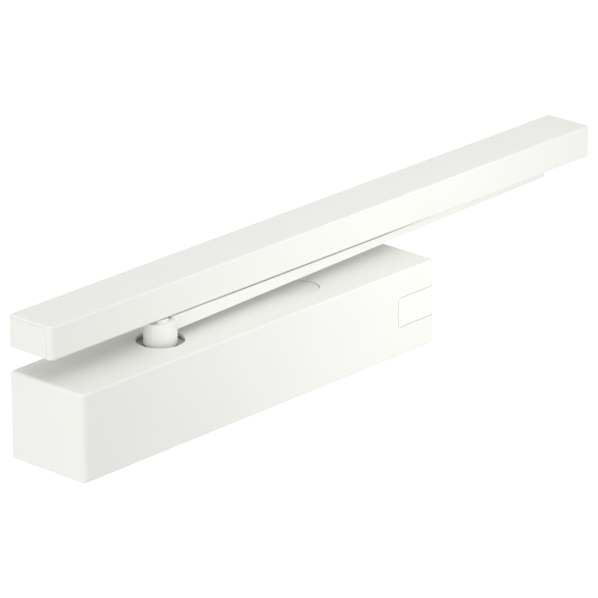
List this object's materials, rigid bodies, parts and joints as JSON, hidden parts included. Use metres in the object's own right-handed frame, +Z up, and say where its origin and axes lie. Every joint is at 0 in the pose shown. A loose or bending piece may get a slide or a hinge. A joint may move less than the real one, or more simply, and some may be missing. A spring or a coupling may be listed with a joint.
{
  "type": "overhead door closer",
  "caption": "Slim white overhead door closer: box-shaped spring and damper body, flat lever arm and slide rail above.",
  "frame": {"origin": "middle of the body's back face, at the centre of its four door screws", "axes": "+X along the body towards the arm's free end, +Y into the door, +Z up"},
  "size_m": [0.5284, 0.064, 0.0982],
  "materials": {
    "white_cover": "satin warm white",
    "badge_finish": "smooth white",
    "rail_coat": "white powder coat",
    "arm_coat": "white powder coat",
    "housing_metal": "die cast, pale enamel",
    "plate_steel": "zinc plated",
    "plug_steel": "turned",
    "bearing_steel": "ground",
    "hard_steel": "hardened, ground",
    "screw_steel": "zinc plated",
    "spring_steel": "oil tempered",
    "valve_brass": "turned",
    "seal_rubber": "matt black",
    "ring_plastic": "filled plastic",
    "block_plastic": "black, waxy"
  },
  "bodies": {
    "closer_body": {"mounting_plate": "plate_steel", "closer_housing": "housing_metal", "body_cover": "white_cover", "badge_plate": "badge_finish", "blanking_cap": "white_cover", "cover_clips": "plate_steel", "damper_end_plug": "plug_steel", "spring_end_plug": "plug_steel", "end_plug_seals": "seal_rubber", "upper_bearing": "bearing_steel", "lower_bearing": "bearing_steel", "upper_spindle_seal": "seal_rubber", "lower_spindle_seal": "seal_rubber", "valve_seals": "seal_rubber", "outer_spring": "spring_steel", "inner_spring": "spring_steel"},
    "arm": {"spindle": "hard_steel", "heart_cam": "hard_steel", "spindle_spacers": "hard_steel", "lever_arm": "arm_coat", "arm_screw": "arm_coat", "slide_pin": "hard_steel"},
    "carriage": {"spring_piston": "hard_steel", "damper_piston": "hard_steel", "damper_piston_ring": "ring_plastic", "check_valve": "valve_brass", "tie_rods": "hard_steel", "roller_pins": "hard_steel"},
    "spring_roller": {"spring_side_roller": "bearing_steel"},
    "damper_roller": {"damper_side_roller": "bearing_steel"},
    "seat": {"spring_seat": "plug_steel"},
    "adjuster": {"adjuster_screw": "screw_steel"},
    "closing_valve": {"closing_speed_valve": "valve_brass"},
    "latching_valve": {"latching_speed_valve": "valve_brass"},
    "back_check": {"back_check_valve": "valve_brass"},
    "delay_valve": {"closing_delay_valve": "valve_brass"},
    "block": {"slide_block": "block_plastic"},
    "rail": {"rail_track": "rail_coat", "rail_cover": "rail_coat", "left_rail_end_cap": "white_cover", "right_rail_end_cap": "white_cover", "left_rail_buffer": "seal_rubber", "right_rail_buffer": "seal_rubber"}
  },
  "joints": [
    {"name": "arm_swing", "type": "hinge", "parent": "closer_body", "child": "arm", "pos_m": [-0.064, -0.032, 0], "axis": [0, 0, 1], "range_deg": [0, 170], "stiffness_Nm_per_rad": 6, "springref_deg": -114.59},
    {"name": "carriage_slide", "type": "slide", "parent": "closer_body", "child": "carriage", "axis": [1, 0, 0], "range_m": [0, 0.01157], "deforming": ["outer_spring", "inner_spring"]},
    {"name": "spring_roller_turn", "type": "hinge", "parent": "carriage", "child": "spring_roller", "pos_m": [-0.0485, -0.032, 0], "axis": [0, 0, 1], "continuous": true},
    {"name": "damper_roller_turn", "type": "hinge", "parent": "carriage", "child": "damper_roller", "pos_m": [-0.09175, -0.032, 0], "axis": [0, 0, 1], "continuous": true},
    {"name": "adjuster_turn", "type": "hinge", "parent": "closer_body", "child": "adjuster", "pos_m": [0.1348, -0.032, 0], "axis": [-1, 0, 0], "range_deg": [0, 1440]},
    {"name": "seat_slide", "type": "slide", "parent": "closer_body", "child": "seat", "axis": [-1, 0, 0], "range_m": [0, 0.00801], "deforming": ["outer_spring", "inner_spring"]},
    {"name": "closing_valve_turn", "type": "hinge", "parent": "closer_body", "child": "closing_valve", "pos_m": [-0.1375, -0.06, -0.017], "axis": [0, 1, 0], "range_deg": [-360, 360]},
    {"name": "latching_valve_turn", "type": "hinge", "parent": "closer_body", "child": "latching_valve", "pos_m": [-0.1225, -0.06, -0.017], "axis": [0, 1, 0], "range_deg": [-360, 360]},
    {"name": "back_check_turn", "type": "hinge", "parent": "closer_body", "child": "back_check", "pos_m": [-0.1075, -0.06, -0.017], "axis": [0, 1, 0], "range_deg": [-360, 360]},
    {"name": "delay_valve_turn", "type": "hinge", "parent": "closer_body", "child": "delay_valve", "pos_m": [-0.0925, -0.06, -0.017], "axis": [0, 1, 0], "range_deg": [-360, 360]},
    {"name": "block_pivot", "type": "hinge", "parent": "arm", "child": "block", "pos_m": [0.31893, -0.0175, 0.04795], "axis": [0, 0, 1], "range_deg": [-40, 40]},
    {"name": "rail_slide", "type": "slide", "parent": "block", "child": "rail", "axis": [1, 0, 0], "range_m": [-0.0137, 0.45613]}
  ],
  "couplings": [
    {"joint": "carriage_slide", "follows": "arm_swing", "m_per_rad": 0.0038993},
    {"joint": "seat_slide", "follows": "adjuster_turn", "m_per_rad": 0.00031831}
  ]
}
